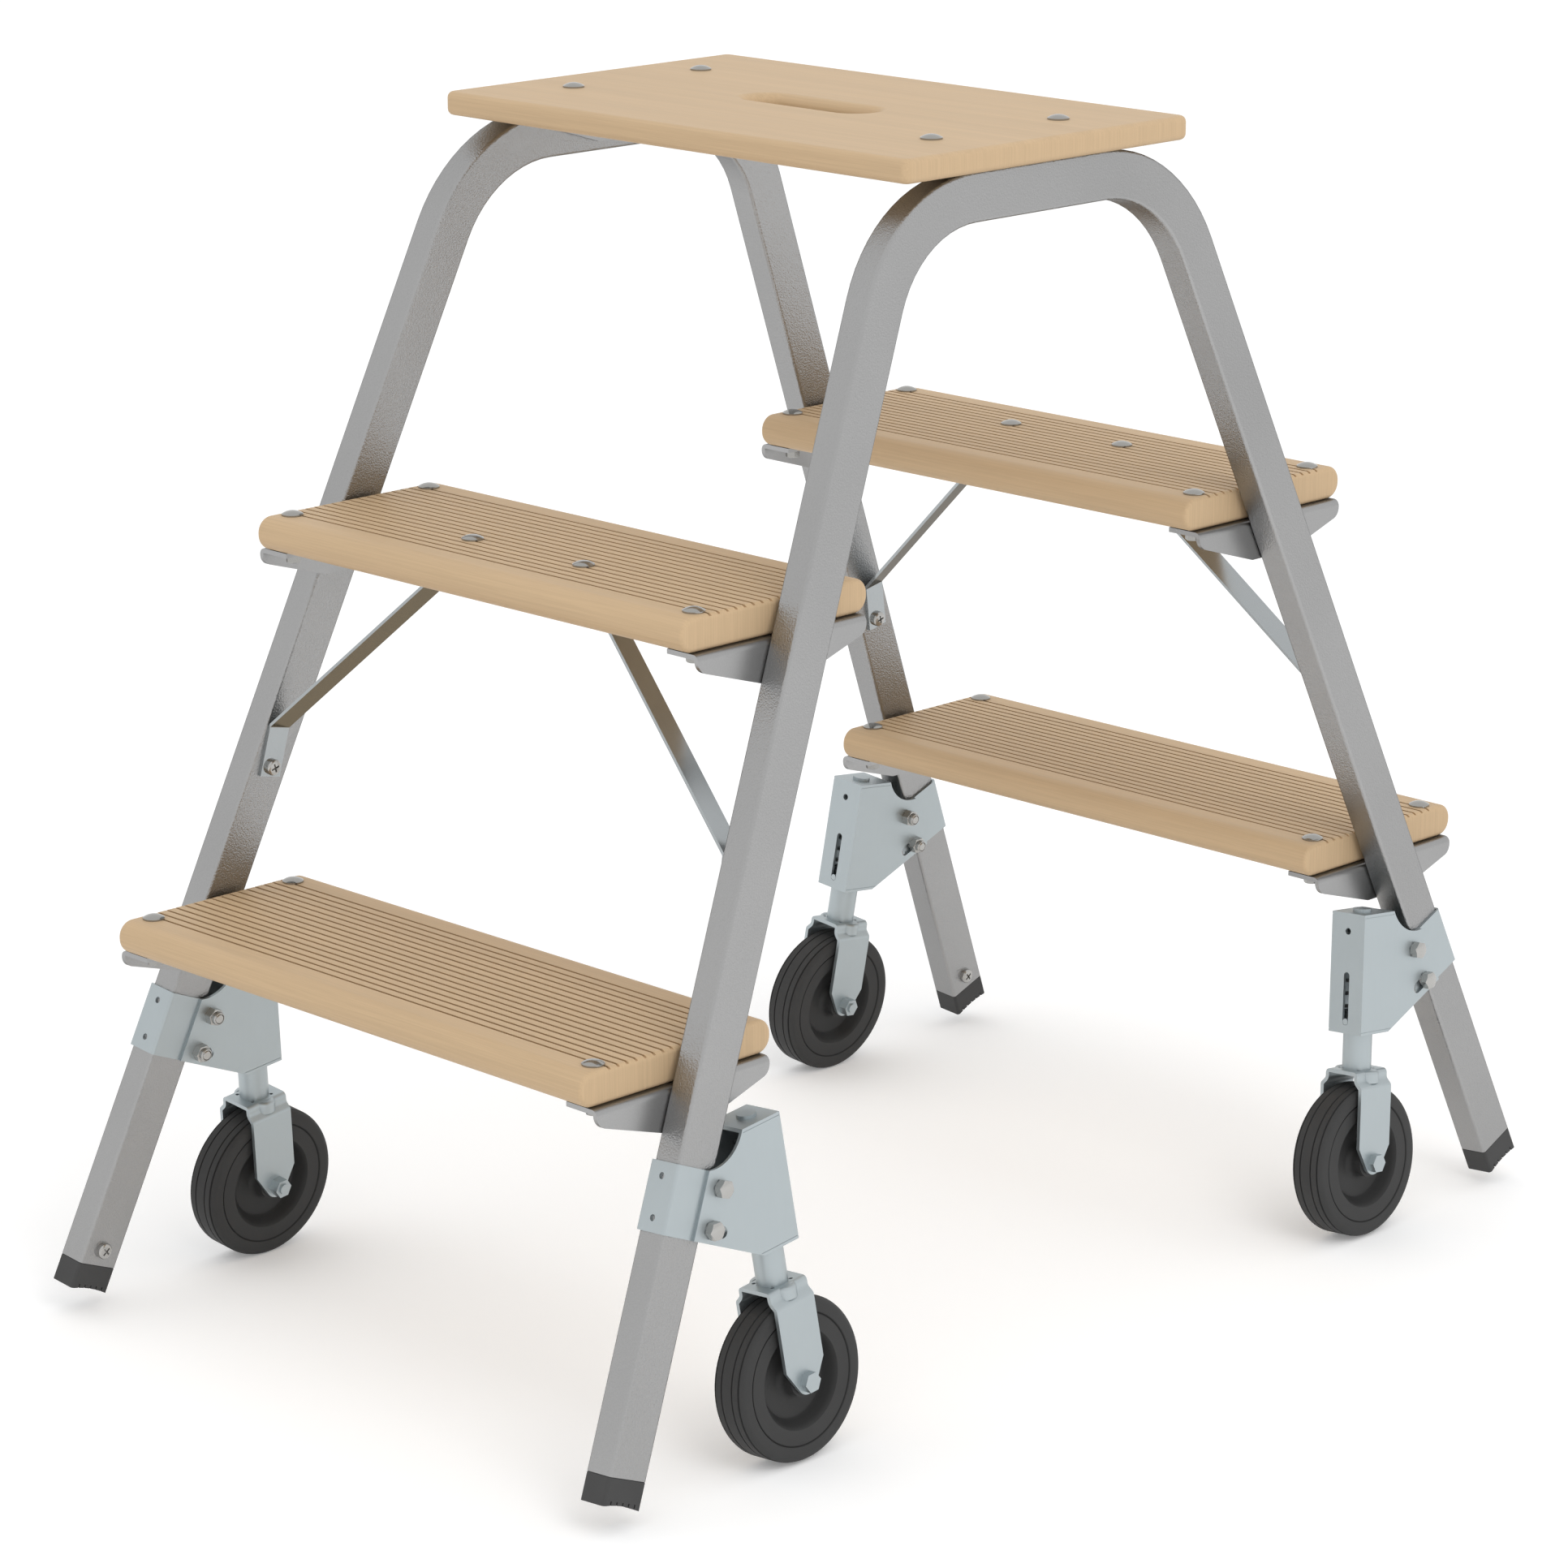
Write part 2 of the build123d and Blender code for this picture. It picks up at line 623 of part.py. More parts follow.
# Where the taper's straight edge runs into the rounded tip
taper_reach = hypot(fork_leg_width / 2, fork_taper_start)
tip_angle = atan2(fork_taper_start, fork_leg_width / 2) - acos(fork_tip_radius / taper_reach)
tip_x = fork_tip_radius * cos(tip_angle)
tip_y = fork_tip_radius * sin(tip_angle)
for side_name, end_name, side, end in CORNERS:
    castor = castor_plane(side, end)
    fork_section = Plane(origin=castor.origin, x_dir=castor.z_dir, z_dir=-castor.x_dir)
    with BuildPart() as castor_fork:
        with BuildSketch(fork_section):
            with BuildLine():
                FilletPolyline(*fork_profile, radius=fork_bend_radius)
                offset(amount=fork_sheet, side=Side.RIGHT)
            make_face()
        extrude(amount=fork_leg_width / 2, both=True)
        with BuildSketch(castor):
            Circle(fork_tip_radius)
            with BuildLine():
                Polyline(
                    (-tip_x, tip_y),
                    (tip_x, tip_y),
                    (fork_leg_width / 2, fork_taper_start),
                    (fork_leg_width / 2, fork_top),
                    (-fork_leg_width / 2, fork_top),
                    (-fork_leg_width / 2, fork_taper_start),
                    close=True,
                )
            make_face()
        extrude(amount=fork_half_width, both=True, mode=Mode.INTERSECT)
        with BuildSketch(castor):
            Circle(axle_diameter / 2 + axle_clearance / 2)
        extrude(amount=fork_half_width, both=True, mode=Mode.SUBTRACT)
        post_plane = Plane(
            origin=castor.from_local_coords((0, fork_top, 0)),
            x_dir=castor.x_dir,
            z_dir=castor.y_dir,
        )
        boss_base = post_plane.offset(-fork_neck_height - fork_joggle_height / 2)
        for out in (1, -1):
            with BuildPart(mode=Mode.PRIVATE) as boss:
                with BuildSketch(boss_base):
                    with Locations((0, out * fork_boss_offset)):
                        Circle(fork_boss_radius)
                    inner_edge = fork_neck_half_width - fork_sheet + fork_boss_proud
                    with Locations((0, out * (inner_edge - fork_boss_radius))):
                        Rectangle(4 * fork_boss_radius, 2 * fork_boss_radius, mode=Mode.SUBTRACT)
                extrude(amount=fork_boss_height)
                boss_top = boss.faces().sort_by(Axis(post_plane.origin, post_plane.z_dir))[-1]
                fillet(boss_top.edges().filter_by(GeomType.CIRCLE), fork_boss_edge_radius)
            add(boss.part)
        with BuildSketch(post_plane):
            with PolarLocations(post_diameter / 2 + plate_hole_offset, 4, start_angle=45):
                Circle(plate_hole_diameter / 2)
        extrude(amount=-fork_sheet, mode=Mode.SUBTRACT)
        with BuildSketch(post_plane):
            Circle(post_diameter / 2)
        extrude(amount=housing_base + post_reach_inside - fork_top)
        pin_plane = Plane(
            origin=castor.from_local_coords((0, pin_height, 0)),
            x_dir=castor.y_dir,
            z_dir=-castor.x_dir,
        )
        with BuildSketch(pin_plane):
            Circle(web_slot_width / 2 - pin_clearance)
        extrude(amount=housing_web_offset)
    save(castor_fork.part, f"castor_fork_{side_name}_{end_name}")

    out_sign = side * end
    head_plane = castor_plane(side, end, fork_half_width)
    nut_plane = castor_plane(side, end, -fork_half_width)
    with BuildPart() as wheel_axle:
        with BuildSketch(nut_plane):
            Circle(axle_diameter / 2)
        extrude(amount=out_sign * 2 * fork_half_width)
        with BuildSketch(nut_plane):
            Circle(axle_diameter / 2)
        extrude(amount=-out_sign * (axle_nut_height + axle_end_length))
        with BuildSketch(head_plane):
            RegularPolygon(axle_head_size / 2, 6, major_radius=False)
        extrude(amount=out_sign * axle_head_height)
        with BuildSketch(nut_plane):
            RegularPolygon(axle_head_size / 2, 6, major_radius=False)
        extrude(amount=-out_sign * axle_nut_height)
    save(wheel_axle.part, f"wheel_axle_{side_name}_{end_name}")

    axle_line = Axis(castor.origin, castor.z_dir)
    wheel_section = Plane(origin=castor.origin, x_dir=castor.y_dir, z_dir=castor.x_dir)
    with BuildPart() as wheel_rim:
        with BuildSketch(wheel_section) as rim_section:
            with BuildLine():
                mirrored = [(radius, -half) for radius, half in rim_profile[::-1]]
                Polyline(*rim_profile, *mirrored, close=True)
            make_face()
            rings = rim_section.vertices().group_by(Axis.X)
            fillet(rings[1].sort_by(Axis.Y)[1:3], hub_base_fillet)
            fillet(rings[2], rim_dish_fillet)
            fillet(rings[3], rim_recess_edge_radius)
            chamfer(rings[4], rim_edge_chamfer)
        revolve(axis=axle_line)
    save(wheel_rim.part, f"wheel_rim_{side_name}_{end_name}")

    with BuildPart() as tyre:
        with BuildSketch(wheel_section) as tread_section:
            with Locations((rim_radius, 0)):
                Rectangle(wheel_radius - rim_radius, tyre_width, align=(Align.MIN, Align.CENTER))
            edge_rings = tread_section.vertices().group_by(Axis.X)
            fillet(edge_rings[-1], tyre_shoulder_radius)
            chamfer(edge_rings[0], rim_edge_chamfer)
        revolve(axis=axle_line)
    save(tyre.part, f"tyre_{side_name}_{end_name}")
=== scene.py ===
import json
from collections import namedtuple
from math import atan2, cos, degrees, pi, radians, sin, sqrt, tan

import bpy
from bpy.props import FloatProperty, FloatVectorProperty, IntProperty, PointerProperty
from mathutils import Matrix, Vector


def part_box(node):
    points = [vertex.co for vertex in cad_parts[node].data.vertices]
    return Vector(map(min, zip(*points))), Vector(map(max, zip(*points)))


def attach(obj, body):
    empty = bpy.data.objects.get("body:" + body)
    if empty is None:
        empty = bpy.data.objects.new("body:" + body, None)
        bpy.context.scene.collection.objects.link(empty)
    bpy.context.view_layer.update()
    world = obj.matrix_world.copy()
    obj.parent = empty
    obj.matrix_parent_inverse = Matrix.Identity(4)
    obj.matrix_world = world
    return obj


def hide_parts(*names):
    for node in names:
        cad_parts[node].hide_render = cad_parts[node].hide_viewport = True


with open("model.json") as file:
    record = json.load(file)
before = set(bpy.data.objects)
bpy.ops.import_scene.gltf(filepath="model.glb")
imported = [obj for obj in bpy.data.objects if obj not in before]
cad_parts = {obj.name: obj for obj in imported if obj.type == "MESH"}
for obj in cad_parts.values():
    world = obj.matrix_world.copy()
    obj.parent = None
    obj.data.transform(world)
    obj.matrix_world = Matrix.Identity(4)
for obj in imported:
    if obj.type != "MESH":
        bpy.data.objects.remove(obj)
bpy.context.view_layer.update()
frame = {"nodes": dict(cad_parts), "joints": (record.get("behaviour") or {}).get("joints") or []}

bl_info = {
    "name": "Mobile Step Platform",
    "version": (1, 0, 0),
    "blender": (4, 5, 0),
    "location": "View3D > Sidebar > Step Platform",
    "description": "Finishes and fasteners for a wooden step platform on spring-loaded castors",
    "category": "Object",
}

# Layout of the side frames, in metres: X along the treads, Y across the steps, Z up
SIDES = {"left": -1, "right": 1}
ENDS = {"front": -1, "back": 1}
LEVELS = ("mid", "low")
LEG_SLANT = radians(22.7)
LEG_ROOT = 0.1026  # leg centreline to the middle of the frame, at the frame's datum level
WHEEL_DROP = 0.7001  # datum level to the wheel's centre, down the frame
POST_LEAN = radians(6.7)
TUBE_HALF_WIDTH = 0.010
HOUSING_HALF_WIDTH = 0.0135
BRACE_THICKNESS = 0.002
RIM_RADIUS = 0.040
FIXED_BODY = "step_frame"
BLACK = (0.0, 0.0, 0.0, 1.0)
WHITE = (1.0, 1.0, 1.0, 1.0)

BOARDS = ["platform_board"] + [f"{level}_tread_{end}" for level in LEVELS for end in ENDS]
CORNER_NAMES = [f"{side}_{end}" for side in SIDES for end in ENDS]

# A dark ring around the axle, for a dark joint line and for painted shade in a recess: its radius, half its
# width and how dark it is, from 0 to 1
Crease = namedtuple("Crease", "radius half_width depth")
RIM_JOINT = Crease(RIM_RADIUS, half_width=0.0008, depth=0.9)


class Corner:
    """One leg with its castor, and the directions that its hardware follows."""

    def __init__(self, name):
        side_name, end_name = name.split("_")
        side = SIDES[side_name]
        self.name = name
        self.wheel_body = f"wheel_{name}"
        hinge = next(joint for joint in frame["joints"] if joint["child"] == self.wheel_body)
        self.wheel_centre = Vector(hinge["pos_m"])
        axis = Vector(hinge["axis"]).normalized()
        self.outward = axis if axis.x * side > 0 else -axis
        self.down = Vector((side * self.outward.z, 0, -abs(self.outward.x)))
        self.across = Vector((0, ENDS[end_name], 0))
        self.post_up = self.across * sin(POST_LEAN) - self.down * cos(POST_LEAN)

    def frame_point(self, across, drop, proud):
        """A point across the frame, down from its datum level and proud of its middle."""
        from_wheel = self.across * (across - abs(self.wheel_centre.y))
        return self.wheel_centre + from_wheel + self.down * (drop - WHEEL_DROP) + self.outward * proud

    def leg_point(self, along, across, proud):
        """A point down the leg from the datum level, across it and proud of its middle."""
        return self.frame_point(
            LEG_ROOT + along * sin(LEG_SLANT) + across * cos(LEG_SLANT),
            along * cos(LEG_SLANT) - across * sin(LEG_SLANT),
            proud,
        )

    def post_point(self, along):
        """A point up the castor's post from the wheel's centre."""
        return self.wheel_centre + self.post_up * along


CORNERS = [Corner(name) for name in CORNER_NAMES]
FIRST_QUADRANT = CORNERS[-1]  # the corner where X and Y are positive


class Shade:
    """One shader socket, so that shader maths reads as Python."""

    def __init__(self, nodes, socket):
        self.nodes = nodes
        self.socket = socket

    def math(self, operation, first, second=0.0):
        """A Math node on one or two values."""
        return self.nodes.add("ShaderNodeMath", {"operation": operation}, {0: first, 1: second})

    def __add__(self, other):
        return self.math("ADD", self, other)

    def __radd__(self, other):
        return self.math("ADD", other, self)

    def __sub__(self, other):
        return self.math("SUBTRACT", self, other)

    def __rsub__(self, other):
        return self.math("SUBTRACT", other, self)

    def __mul__(self, other):
        return self.math("MULTIPLY", self, other)

    def __rmul__(self, other):
        return self.math("MULTIPLY", other, self)

    def __abs__(self):
        return self.math("ABSOLUTE", self)


class Nodes:
    """A node tree whose nodes are all added by one method."""

    def __init__(self, owner):
        owner.use_nodes = True
        self.tree = owner.node_tree
        self.tree.nodes.clear()

    def add(self, kind, settings=None, sockets=None, output=0):
        """Add a node of any kind, set it up, set or link its sockets and return one of its outputs."""
        node = self.tree.nodes.new(kind)
        for key, value in (settings or {}).items():
            setattr(node, key, value)
        for key, value in (sockets or {}).items():
            if isinstance(value, Shade):
                self.tree.links.new(value.socket, node.inputs[key])
            else:
                node.inputs[key].default_value = value
        return Shade(self, node.outputs[output]) if node.outputs else None

    def seen(self):
        """1 on the rays that show a surface: from the camera, from a glossy surface or through glass."""
        seen = self.add("ShaderNodeLightPath", output="Is Camera Ray")
        for ray in ("Is Glossy Ray", "Is Transmission Ray"):
            seen = seen.math("MAXIMUM", seen, self.add("ShaderNodeLightPath", output=ray))
        return seen


class Finish(Nodes):
    """A material, with the patterns that the finishes share."""

    def __init__(self, name):
        self.material = bpy.data.materials.new(name)
        super().__init__(self.material)

    def vector_math(self, operation, first, second=(0.0, 0.0, 0.0), output="Vector"):
        """A Vector Math node on one or two vectors."""
        return self.add("ShaderNodeVectorMath", {"operation": operation}, {0: first, 1: second}, output)

    def along(self, axis, vector):
        """One part of a vector."""
        return self.add("ShaderNodeSeparateXYZ", {}, {0: vector}, output=axis)

    def place(self):
        """Object coordinates, in metres."""
        return self.add("ShaderNodeTexCoord", output="Object")

    def facing(self, axis):
        """How far the surface faces along an axis, from -1 to 1."""
        return self.along(axis, self.add("ShaderNodeNewGeometry", output="Normal"))

    def noise(self, scale, detail=3.0, roughness=0.5):
        """Noise from 0 to 1 whose grains are the inverse of the scale along each axis, in metres."""
        place = self.add("ShaderNodeMapping", {}, {"Vector": self.place(), "Scale": scale})
        sockets = {"Vector": place, "Scale": 1.0, "Detail": detail, "Roughness": roughness}
        return self.add("ShaderNodeTexNoise", {}, sockets)

    def between(self, value, low, high):
        """The value's place from low to high, held to 0 and 1."""
        sockets = {"Value": value, "From Min": low, "From Max": high}
        return self.add("ShaderNodeMapRange", {"interpolation_type": "SMOOTHSTEP"}, sockets)

    def blend(self, factor, first, second):
        """A colour between two, by a factor."""
        settings = {"data_type": "RGBA"}
        return self.add("ShaderNodeMix", settings, {0: factor, 6: first, 7: second}, output=2)

    def varied(self, colour, tone, dark, light):
        """A colour that goes from a darker to a lighter share of itself as the tone goes from 0 to 1."""
        return self.blend(self.between(tone, 0.0, 1.0), opaque(colour, dark), opaque(colour, light))

    def mirrored_from(self, middle):
        """Offset from a point, mirrored across X and Y so that it serves all corners."""
        return self.vector_math("SUBTRACT", self.vector_math("ABSOLUTE", self.place()), middle)

    def axle_distance(self):
        """Distance from the nearest wheel's axis, for all four wheels by mirroring."""
        offset = self.mirrored_from(FIRST_QUADRANT.wheel_centre)
        arm = self.vector_math("CROSS_PRODUCT", offset, FIRST_QUADRANT.outward)
        return self.vector_math("LENGTH", arm, output="Value")

    def inside(self, middle, half_size, soft):
        """1 inside a box, mirrored across X and Y, that fades to 0 across its walls."""
        reach = self.vector_math("ABSOLUTE", self.mirrored_from(middle))
        mask = 1.0
        for axis, half in zip("XYZ", half_size):
            mask = (1 - self.between(self.along(axis, reach), half - soft, half + soft)) * mask
        return mask

    def bump(self, height, distance, strength):
        """A normal from a height field."""
        sockets = {"Height": height, "Distance": distance, "Strength": strength}
        return self.add("ShaderNodeBump", {}, sockets)

    def cover(self, **sockets):
        """Finish with a surface, given its sockets with underscores for the spaces in their names."""
        named = {key.replace("_", " "): value for key, value in sockets.items()}
        surface = self.add("ShaderNodeBsdfPrincipled", {}, named)
        self.add("ShaderNodeOutputMaterial", {}, {"Surface": surface})
        return self.material


def opaque(colour, factor=1.0):
    """A colour with its alpha, made lighter or darker by a factor."""
    return tuple(min(1.0, part * factor) for part in colour) + (1.0,)


def plywood(name, colour, shade_middle, shade_half_size, shade_soft):
    """Lacquered beech: fine grain along X on the long faces, upright streaks on the ends, and painted
    shade, darker and browner, inside a box where grooves and slots fall dark.
    """
    finish = Finish(name)
    streaks = finish.noise((14.0, 1100.0, 900.0), detail=3.0, roughness=0.6)
    figure = finish.noise((3.0, 90.0, 110.0), detail=3.0)
    end_streaks = finish.noise((60.0, 1250.0, 22.0), detail=2.0, roughness=0.5)
    end_face = finish.between(abs(finish.facing("X")), 0.75, 0.95)
    long_face = 1 - end_face
    grain = streaks * long_face + end_streaks * end_face
    tone = 0.5 + (grain - 0.5) * 1.3 + (figure - 0.5) * 0.8 * long_face
    plain = finish.varied(colour, tone, 0.92, 1.07)
    # Painted shade: 1 inside the box where the grooves and the hand slot fall dark, fading to 0 outside
    cut_shade = finish.inside(shade_middle, shade_half_size, shade_soft)
    return finish.cover(
        Base_Color=finish.blend(cut_shade, plain, cut_shade_colour(colour)),
        Roughness=0.5 + (grain - 0.5) * 0.16,
        Normal=finish.bump(grain, distance=0.00008, strength=0.3),
        Specular_IOR_Level=0.2,
    )


def cut_shade_colour(colour):
    """The darker, browner wood of the painted shade in grooves and slots."""
    return (colour[0] * 0.68, colour[1] * 0.62, colour[2] * 0.54, 1.0)


def pearled_metal(name, colour, relief):
    """Silver-grey metal with a fine hammered relief."""
    finish = Finish(name)
    pearls = finish.noise((900.0, 900.0, 900.0), detail=2.0, roughness=0.5)
    specks = finish.noise((1500.0, 1500.0, 1500.0), detail=1.0)
    clouds = finish.noise((9.0, 9.0, 9.0), detail=2.0)
    tone = 0.5 + (clouds - 0.5) * 0.8 + (specks - 0.5) * 0.7
    return finish.cover(
        Base_Color=finish.varied(colour, tone, 0.92, 1.08),
        Metallic=1.0,
        Roughness=0.32 + (clouds - 0.5) * 0.08,
        Specular_Tint=(0.4, 0.4, 0.4, 1.0),
        Normal=finish.bump(pearls, distance=0.0009, strength=relief),
    )


def zinc_plate(name, colour, roughness):
    """Zinc-plated sheet: even, with faint clouding and rolling marks."""
    finish = Finish(name)
    clouds = finish.noise((38.0, 38.0, 38.0), detail=3.0)
    marks = finish.noise((260.0, 260.0, 40.0), detail=2.0)
    tone = 0.5 + (clouds - 0.5) * 0.9 + (marks - 0.5) * 0.25
    return finish.cover(
        Base_Color=finish.varied(colour, tone, 0.97, 1.03),
        Metallic=0.85,
        Roughness=roughness + (clouds - 0.5) * 0.1,
        Normal=finish.bump(marks, distance=0.00003, strength=0.08),
    )


def brace_strap(name, colour, wood_reflection_colour):
    """Smooth zinc-plated strap, with a painted reflection of the brown wood on the faces that look down."""
    finish = Finish(name)
    clouds = finish.noise((38.0, 38.0, 38.0), detail=3.0)
    even = finish.blend(clouds, opaque(colour, 0.97), opaque(colour, 1.03))
    # Painted reflection of the wood: faces that look down take the brown colour
    reflecting_underside = 1 - finish.between(finish.facing("Z"), -0.6, -0.3)
    return finish.cover(
        Base_Color=finish.blend(reflecting_underside, even, opaque(wood_reflection_colour)),
        Metallic=0.9,
        Roughness=0.14 + (clouds - 0.5) * 0.06,
        Specular_Tint=(0.4, 0.4, 0.4, 1.0),
    )


def moulded(name, colour, roughness, creases=()):
    """Moulded rubber or plastic with a fine matt skin, darker in rings around the axle: dark joint lines,
    and painted shade in recesses.
    """
    finish = Finish(name)
    skin = finish.noise((1700.0, 1700.0, 1700.0), detail=2.0)
    dust = finish.noise((30.0, 30.0, 30.0), detail=3.0)
    base = finish.varied(colour, 0.5 + (dust - 0.5) * 1.2, 0.9, 1.12)
    # Each ring darkens the colour: the joint ring as a dark line, the recess ring as painted shade
    for crease in creases:
        away = abs(finish.axle_distance() - crease.radius)
        dark = 1 - finish.between(away, crease.half_width * 0.2, crease.half_width)
        base = finish.blend(dark * crease.depth, base, opaque(colour, 0.2))
    return finish.cover(
        Base_Color=base,
        Roughness=roughness + (dust - 0.5) * 0.15,
        Normal=finish.bump(skin, distance=0.00006, strength=0.3),
        Specular_IOR_Level=0.2,
    )


def steel_finish(finishes):
    """The bright finish that the clamp bolts, screws and springs share."""
    name = "bright_steel"
    return bpy.data.materials.get(name) or zinc_plate(name, finishes.fastener_colour, roughness=0.2)


def paint(nodes, material):
    """Give CAD nodes a finish."""
    for name in nodes:
        materials = frame["nodes"][name].data.materials
        materials.clear()
        materials.append(material)


def nodes_named(*starts):
    """The CAD nodes whose names start with one of these."""
    return [name for name in frame["nodes"] if name.startswith(starts)]


def start_piece(name):
    """The object that the last primitive made, named and in edit mode with all selected."""
    piece = bpy.context.active_object
    piece.name = name
    bpy.ops.object.mode_set(mode="EDIT")
    bpy.ops.mesh.select_all(action="SELECT")
    return piece


def close_mesh():
    """Merge doubles, turn all faces outwards and go back to object mode."""
    bpy.ops.mesh.select_all(action="SELECT")
    bpy.ops.mesh.remove_doubles(threshold=1e-6)
    bpy.ops.mesh.normals_make_consistent(inside=False)
    bpy.ops.object.mode_set(mode="OBJECT")


def turned(name, profile, steps):
    """A piece turned on a lathe about Z from a profile of (radius, height) points."""
    bpy.ops.object.select_all(action="DESELECT")
    bpy.ops.mesh.primitive_plane_add(size=0.01)
    piece = start_piece(name)
    bpy.ops.mesh.merge(type="CENTER")
    points = [Vector((radius, 0.0, height)) for radius, height in profile]
    bpy.ops.transform.translate(value=points[0])
    for before, after in zip(points, points[1:]):
        bpy.ops.mesh.extrude_vertices_move(TRANSFORM_OT_translate={"value": after - before})
    bpy.ops.mesh.select_all(action="SELECT")
    bpy.ops.mesh.spin(steps=steps, angle=2 * pi, center=(0, 0, 0), axis=(0, 0, 1))
    close_mesh()
    return piece


def arc(centre, radius, start, stop, steps):
    """Points of an arc in (radius, height), its angles in degrees."""
    angles = [radians(start + (stop - start) * step / steps) for step in range(steps + 1)]
    return [(centre[0] + radius * cos(angle), centre[1] + radius * sin(angle)) for angle in angles]


def hexagon(name, flats, height):
    """A hexagonal bar along Z with its top corners rounded off, as on a bolt head or a nut."""
    # The cutting cone starts just inside the flats and falls outwards, past the corners
    corner = flats / sqrt(3)
    crown = flats / 2 * 0.95
    reach = corner * 1.1
    fall = (corner - crown) * 0.7888
    below = -height * 0.1
    middle = (0, 0, height / 2)
    bpy.ops.object.select_all(action="DESELECT")
    bpy.ops.mesh.primitive_cylinder_add(vertices=6, radius=corner, depth=height, location=middle)
    bpy.ops.object.transform_apply(location=True, rotation=True, scale=True)
    piece = bpy.context.active_object
    piece.name = name
    outline = [(0.0, below), (reach, below), (reach, height - fall), (crown, height), (0.0, height)]
    combine(piece, turned("chamfer_tool", outline, 48), "INTERSECT")
    return piece


def combine(piece, tool, operation):
    """Cut a piece with a tool, or keep what they share, and remove the tool."""
    bpy.ops.object.select_all(action="DESELECT")
    bpy.context.view_layer.objects.active = piece
    piece.select_set(True)
    bpy.ops.object.modifier_add(type="BOOLEAN")
    modifier = piece.modifiers[-1]
    modifier.operation = operation
    modifier.solver = "EXACT"
    modifier.object = tool
    bpy.ops.object.modifier_apply(modifier=modifier.name)
    bpy.data.objects.remove(tool)


def join(pieces, name):
    """Join pieces into one."""
    bpy.ops.object.select_all(action="DESELECT")
    for piece in pieces:
        piece.select_set(True)
    bpy.context.view_layer.objects.active = pieces[0]
    bpy.ops.object.join()
    pieces[0].name = name
    return pieces[0]


def set_at(pattern, origin, axis, turn=0.0):
    """A copy of a pattern, with its own mesh, that stands on a point along an axis."""
    piece = pattern.copy()
    piece.data = pattern.data.copy()
    bpy.context.scene.collection.objects.link(piece)
    stand = Vector(axis).to_track_quat("Z", "Y").to_matrix().to_4x4()
    piece.data.transform(Matrix.Translation(origin) @ stand @ Matrix.Rotation(turn, 4, "Z"))
    return piece


def settle(piece, body, material, smooth_angle=35.0):
    """Give a finished piece its finish, its shading and the body that it rides on."""
    piece.data.materials.clear()
    piece.data.materials.append(material)
    bpy.ops.object.select_all(action="DESELECT")
    bpy.context.view_layer.objects.active = piece
    piece.select_set(True)
    bpy.ops.object.shade_smooth_by_angle(angle=radians(smooth_angle))
    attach(piece, body)


def discard(*patterns):
    """Remove patterns once their copies are made."""
    for pattern in patterns:
        bpy.data.objects.remove(pattern)


def colour_setting(name, description, default):
    """A colour that a user may change."""
    return FloatVectorProperty(
        name=name, description=description, subtype="COLOR", default=default, min=0, max=1
    )


def length_setting(name, description, default):
    """A length that a user may change."""
    return FloatProperty(name=name, description=description, default=default, unit="LENGTH")


def angle_setting(name, description, default):
    """An angle that a user may change."""
    return FloatProperty(name=name, description=description, default=default, subtype="ANGLE")


def place_setting(name, description, default):
    """A place in the scene that a user may change."""
    return FloatVectorProperty(name=name, description=description, default=default, subtype="XYZ")


class StepFinishes(bpy.types.PropertyGroup):
    """Colours of the finishes."""

    wood_colour: colour_setting("Wood", "Lacquered beech", (0.57, 0.41, 0.248))
    frame_colour: colour_setting("Frame", "Tubes and brackets", (0.37, 0.37, 0.37))
    brace_colour: colour_setting("Braces", "Flat straps", (0.40, 0.425, 0.435))
    # Painted reflection of the wood, on the undersides of the straps
    brace_reflection_colour: colour_setting("Under braces", "Underside of the straps", (0.215, 0.18, 0.127))
    zinc_colour: colour_setting("Zinc", "Castor sheet metal", (0.437, 0.485, 0.503))
    fastener_colour: colour_setting("Fasteners", "Clamp bolts, screws and springs", (0.44, 0.435, 0.42))
    coach_colour: colour_setting("Board bolts", "Coach bolts and nuts", (0.34, 0.335, 0.32))
    tyre_colour: colour_setting("Tyres", "Rubber of the tyres", (0.046, 0.046, 0.046))
    rim_colour: colour_setting("Rims", "Plastic of the rims", (0.043, 0.043, 0.043))
    cap_colour: colour_setting("Foot caps", "Plastic feet", (0.058, 0.058, 0.058))


class StepHardware(bpy.types.PropertyGroup):
    """Sizes of the fasteners, springs and tyre grooves."""

    coach_head: length_setting("Coach head", "Diameter of a board bolt's head", 0.0136)
    coach_dome: length_setting("Coach dome", "Height of a board bolt's head", 0.0031)
    board_bolt: length_setting("Board bolt", "Diameter of a board bolt", 0.005)
    board_bolt_end: length_setting("Board bolt end", "How far it stands out of its nut", 0.0005)
    board_nut: length_setting("Board nut", "Flats of the nut under a bracket", 0.0085)
    board_nut_height: length_setting("Board nut height", "Height of that nut", 0.0056)
    clamp_flats: length_setting("Clamp bolt", "Flats of a clamp bolt's head and nut", 0.0101)
    clamp_head_height: length_setting("Clamp head height", "Height of the head", 0.0048)
    clamp_nut_height: length_setting("Clamp nut height", "Height of the nut's hexagon", 0.0055)
    clamp_collar: length_setting("Clamp collar", "Height of the nut's locking collar", 0.0028)
    screw_head: length_setting("Screw head", "Diameter of a pan head", 0.0105)
    spring_wire: length_setting("Spring wire", "Thickness of the spring's wire", 0.0026)
    spring_turns: IntProperty(name="Spring turns", description="Coils of a spring", default=7, min=2)
    tyre_groove: length_setting("Tyre groove", "Width of a groove on a tyre", 0.0011)


